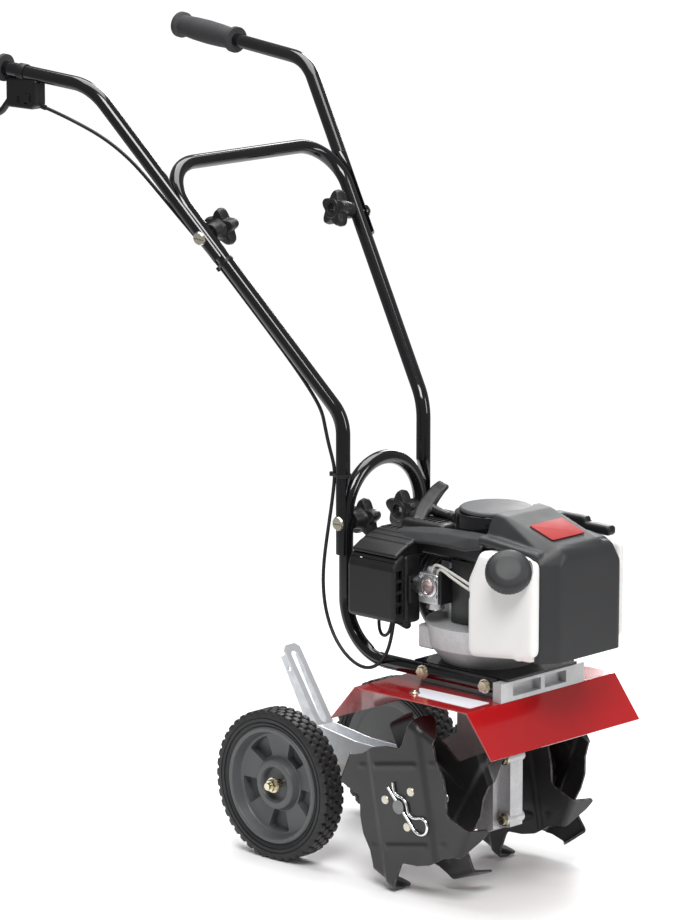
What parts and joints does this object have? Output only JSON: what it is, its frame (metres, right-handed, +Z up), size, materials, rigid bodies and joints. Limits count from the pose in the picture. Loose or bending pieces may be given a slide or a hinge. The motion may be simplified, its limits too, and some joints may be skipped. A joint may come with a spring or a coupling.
{
  "type": "mini tiller",
  "caption": "Petrol mini-cultivator with vertical-shaft engine, worm gearbox, pressed tines, folding two-part handle, fender and swing-up transport wheels.",
  "frame": {"origin": "on the ground under the middle of the whole machine's box", "axes": "+Z up, -Y forwards (engine and tines), +Y towards the operator, -X the machine's right-hand side, seen from the operator"},
  "size_m": [0.4982, 0.9604, 1.0602],
  "materials": {
    "black_gloss": "gloss black powder coat",
    "red_paint": "gloss red paint on sheet steel",
    "cast_aluminium": "as-cast, fine grained",
    "yellow_zinc": "yellow passivated zinc on steel",
    "steel": "machined steel",
    "hub_steel": "satin black with bright rivet heads",
    "bronze": "machined bronze",
    "tine_black": "satin black paint on pressed steel",
    "bright_wire": "bright plated spring wire",
    "bright_zinc": "bright zinc plate",
    "tyre_rubber": "moulded solid rubber",
    "hub_plastic": "dark grey moulded plastic",
    "grip_rubber": "soft dark grey rubber",
    "knob_plastic": "textured black plastic",
    "nickel": "nickel plated",
    "black_plastic": "satin moulded plastic",
    "dark_grey_plastic": "fine-textured moulded plastic",
    "grey_plastic": "satin moulded plastic",
    "red_plastic": "gloss moulded plastic",
    "cable_black": "smooth black sheath",
    "black_rubber": "moulded rubber boot",
    "tank_plastic": "translucent white blow-moulded plastic",
    "carb_metal": "die-cast",
    "clear_bulb": "clear tinted rubber",
    "clear_line": "clear flexible tube"
  },
  "bodies": {
    "chassis": {"lower_frame": "black_gloss", "engine_base": "cast_aluminium", "flange_bolts": "yellow_zinc", "fender": "red_paint", "gearcase_right": "cast_aluminium", "gearcase_left": "cast_aluminium", "gearbox_bearings": "steel", "bracket_pin": "bright_zinc", "crankcase": "cast_aluminium", "cylinder": "cast_aluminium", "spark_plug": "black_rubber", "muffler": "steel", "muffler_guard": "black_plastic", "top_shroud": "black_plastic", "starter_housing": "grey_plastic", "fuel_tank": "tank_plastic", "tank_cover": "dark_grey_plastic", "fuel_lines": "clear_line", "carburettor": "carb_metal", "air_filter_box": "black_plastic", "air_filter_cover": "black_plastic", "throttle_cable_lower": "cable_black"},
    "crank": {"crankshaft": "steel", "flywheel": "cast_aluminium", "clutch_shoes": "steel"},
    "worm": {"worm_shaft": "steel"},
    "tines": {"tine_shaft": "steel", "worm_wheel": "bronze", "tine_outer_right": "tine_black", "tine_inner_right": "tine_black", "tine_inner_left": "tine_black", "tine_outer_left": "tine_black", "tine_hub_right": "hub_steel", "tine_hub_left": "hub_steel", "tine_clips": "bright_wire"},
    "wheel_carrier": {"wheel_bracket": "bright_zinc", "wheel_axle": "yellow_zinc"},
    "wheel_right": {"tyre_right": "tyre_rubber", "hub_right": "hub_plastic"},
    "wheel_left": {"tyre_left": "tyre_rubber", "hub_left": "hub_plastic"},
    "folding_handle": {"mid_handle": "black_gloss", "handle_bolts": "nickel"},
    "handle_right": {"upper_handle_right": "black_gloss", "grip_right": "grip_rubber", "throttle_housing": "black_plastic", "throttle_cable_upper": "cable_black"},
    "handle_left": {"upper_handle_left": "black_gloss", "grip_left": "grip_rubber"},
    "knob_lower_right": {"lower_knob_right": "knob_plastic"},
    "knob_lower_left": {"lower_knob_left": "knob_plastic"},
    "knob_upper_right": {"upper_knob_right": "knob_plastic"},
    "knob_upper_left": {"upper_knob_left": "knob_plastic"},
    "trigger": {"throttle_lever": "black_plastic"},
    "switch": {"stop_switch": "red_plastic"},
    "carb_arm": {"throttle_arm": "bright_zinc"},
    "choke": {"choke_lever": "black_plastic"},
    "primer": {"primer_bulb": "clear_bulb"},
    "filler_cap": {"fuel_cap": "dark_grey_plastic"},
    "pull_handle": {"starter_handle": "black_plastic"}
  },
  "joints": [
    {"name": "crank_spin", "type": "hinge", "parent": "chassis", "child": "crank", "pos_m": [0, -0.3182, 0.4], "axis": [0, 0, 1], "continuous": true},
    {"name": "worm_spin", "type": "hinge", "parent": "chassis", "child": "worm", "pos_m": [0, -0.3182, 0.12], "axis": [0, 0, 1], "continuous": true},
    {"name": "tine_spin", "type": "hinge", "parent": "chassis", "child": "tines", "pos_m": [0, -0.2882, 0.12], "axis": [1, 0, 0], "continuous": true},
    {"name": "bracket_pivot", "type": "hinge", "parent": "chassis", "child": "wheel_carrier", "pos_m": [0, -0.1542, 0.132], "axis": [1, 0, 0], "range_deg": [0, 45]},
    {"name": "wheel_right_spin", "type": "hinge", "parent": "wheel_carrier", "child": "wheel_right", "pos_m": [-0.115, -0.0512, 0.1016], "axis": [1, 0, 0], "continuous": true},
    {"name": "wheel_left_spin", "type": "hinge", "parent": "wheel_carrier", "child": "wheel_left", "pos_m": [0.115, -0.0512, 0.1016], "axis": [1, 0, 0], "continuous": true},
    {"name": "handle_fold", "type": "hinge", "parent": "chassis", "child": "folding_handle", "pos_m": [0, -0.1312, 0.462], "axis": [1, 0, 0], "range_deg": [-45, 0], "deforming": ["throttle_cable_lower"]},
    {"name": "right_handle_fold", "type": "hinge", "parent": "folding_handle", "child": "handle_right", "pos_m": [-0.14335, 0.05305, 0.82967], "axis": [0.9756, 0.1377, 0.1709], "range_deg": [-90, 0], "deforming": ["throttle_cable_upper"]},
    {"name": "left_handle_fold", "type": "hinge", "parent": "folding_handle", "child": "handle_left", "pos_m": [0.14335, 0.05305, 0.82967], "axis": [0.9756, -0.1377, -0.1709], "range_deg": [-90, 0]},
    {"name": "lower_right_knob_turn", "type": "hinge", "parent": "folding_handle", "child": "knob_lower_right", "pos_m": [-0.04, -0.1312, 0.462], "axis": [1, 0, 0], "continuous": true},
    {"name": "lower_left_knob_turn", "type": "hinge", "parent": "folding_handle", "child": "knob_lower_left", "pos_m": [0.04, -0.1312, 0.462], "axis": [1, 0, 0], "continuous": true},
    {"name": "upper_right_knob_turn", "type": "hinge", "parent": "folding_handle", "child": "knob_upper_right", "pos_m": [-0.14335, 0.05305, 0.82967], "axis": [0.9756, 0.1377, 0.1709], "continuous": true},
    {"name": "upper_left_knob_turn", "type": "hinge", "parent": "folding_handle", "child": "knob_upper_left", "pos_m": [0.14335, 0.05305, 0.82967], "axis": [0.9756, -0.1377, -0.1709], "continuous": true},
    {"name": "throttle_pull", "type": "hinge", "parent": "handle_right", "child": "trigger", "pos_m": [-0.212, 0.3418, 1], "axis": [1, 0, 0], "range_deg": [0, 20], "stiffness_Nm_per_rad": 0.6, "springref_deg": -28.65},
    {"name": "switch_slide", "type": "slide", "parent": "handle_right", "child": "switch", "axis": [0, 1, 0], "range_m": [0, 0.006]},
    {"name": "throttle_arm_turn", "type": "hinge", "parent": "chassis", "child": "carb_arm", "pos_m": [-0.062, -0.2742, 0.4195], "axis": [0, 0, 1], "range_deg": [0, 45]},
    {"name": "choke_turn", "type": "hinge", "parent": "chassis", "child": "choke", "pos_m": [-0.085, -0.2582, 0.405], "axis": [0, 1, 0], "range_deg": [0, 50]},
    {"name": "primer_press", "type": "slide", "parent": "chassis", "child": "primer", "axis": [1, 0, 0], "range_m": [0, 0.004], "stiffness_N_per_m": 400, "springref_m": -0.003},
    {"name": "fuel_cap_turn", "type": "hinge", "parent": "chassis", "child": "filler_cap", "pos_m": [-0.0985, -0.4387, 0.4465], "axis": [-0.6191, -0.5192, 0.5891], "range_deg": [0, 270]},
    {"name": "starter_pull", "type": "slide", "parent": "chassis", "child": "pull_handle", "axis": [0, 0.5, 0.866], "range_m": [0, 0.5], "stiffness_N_per_m": 20, "springref_m": -0.3}
  ],
  "couplings": [
    {"joint": "worm_spin", "follows": "tine_spin", "ratio": 40},
    {"joint": "throttle_arm_turn", "follows": "throttle_pull", "ratio": 2.25}
  ]
}
